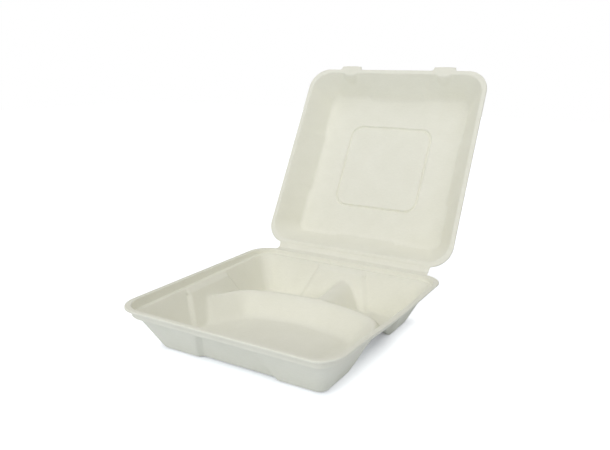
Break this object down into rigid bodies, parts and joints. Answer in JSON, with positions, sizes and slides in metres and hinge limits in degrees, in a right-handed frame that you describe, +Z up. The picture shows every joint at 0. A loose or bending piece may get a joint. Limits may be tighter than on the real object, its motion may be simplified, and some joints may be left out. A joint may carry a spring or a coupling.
{
  "type": "fibre compartment meal box",
  "caption": "Moulded fibre clamshell meal box: a tray with a large compartment in front, small ones behind, and a deep lid hinged on a folding web.",
  "frame": {"origin": "on the table, under the middle of the tray's floor", "axes": "+X to the right, +Y towards the hinge at the back, +Z up"},
  "size_m": [0.23, 0.3683, 0.2565],
  "materials": {
    "moulded_fibre": "matte"
  },
  "bodies": {
    "tray": {"base_tray": "moulded_fibre"},
    "lid": {"lid": "moulded_fibre"}
  },
  "joints": [
    {"name": "lid_hinge", "type": "hinge", "parent": "tray", "child": "lid", "pos_m": [0, 0.1225, 0.04365], "axis": [1, 0, 0], "range_deg": [-61, 119]}
  ]
}
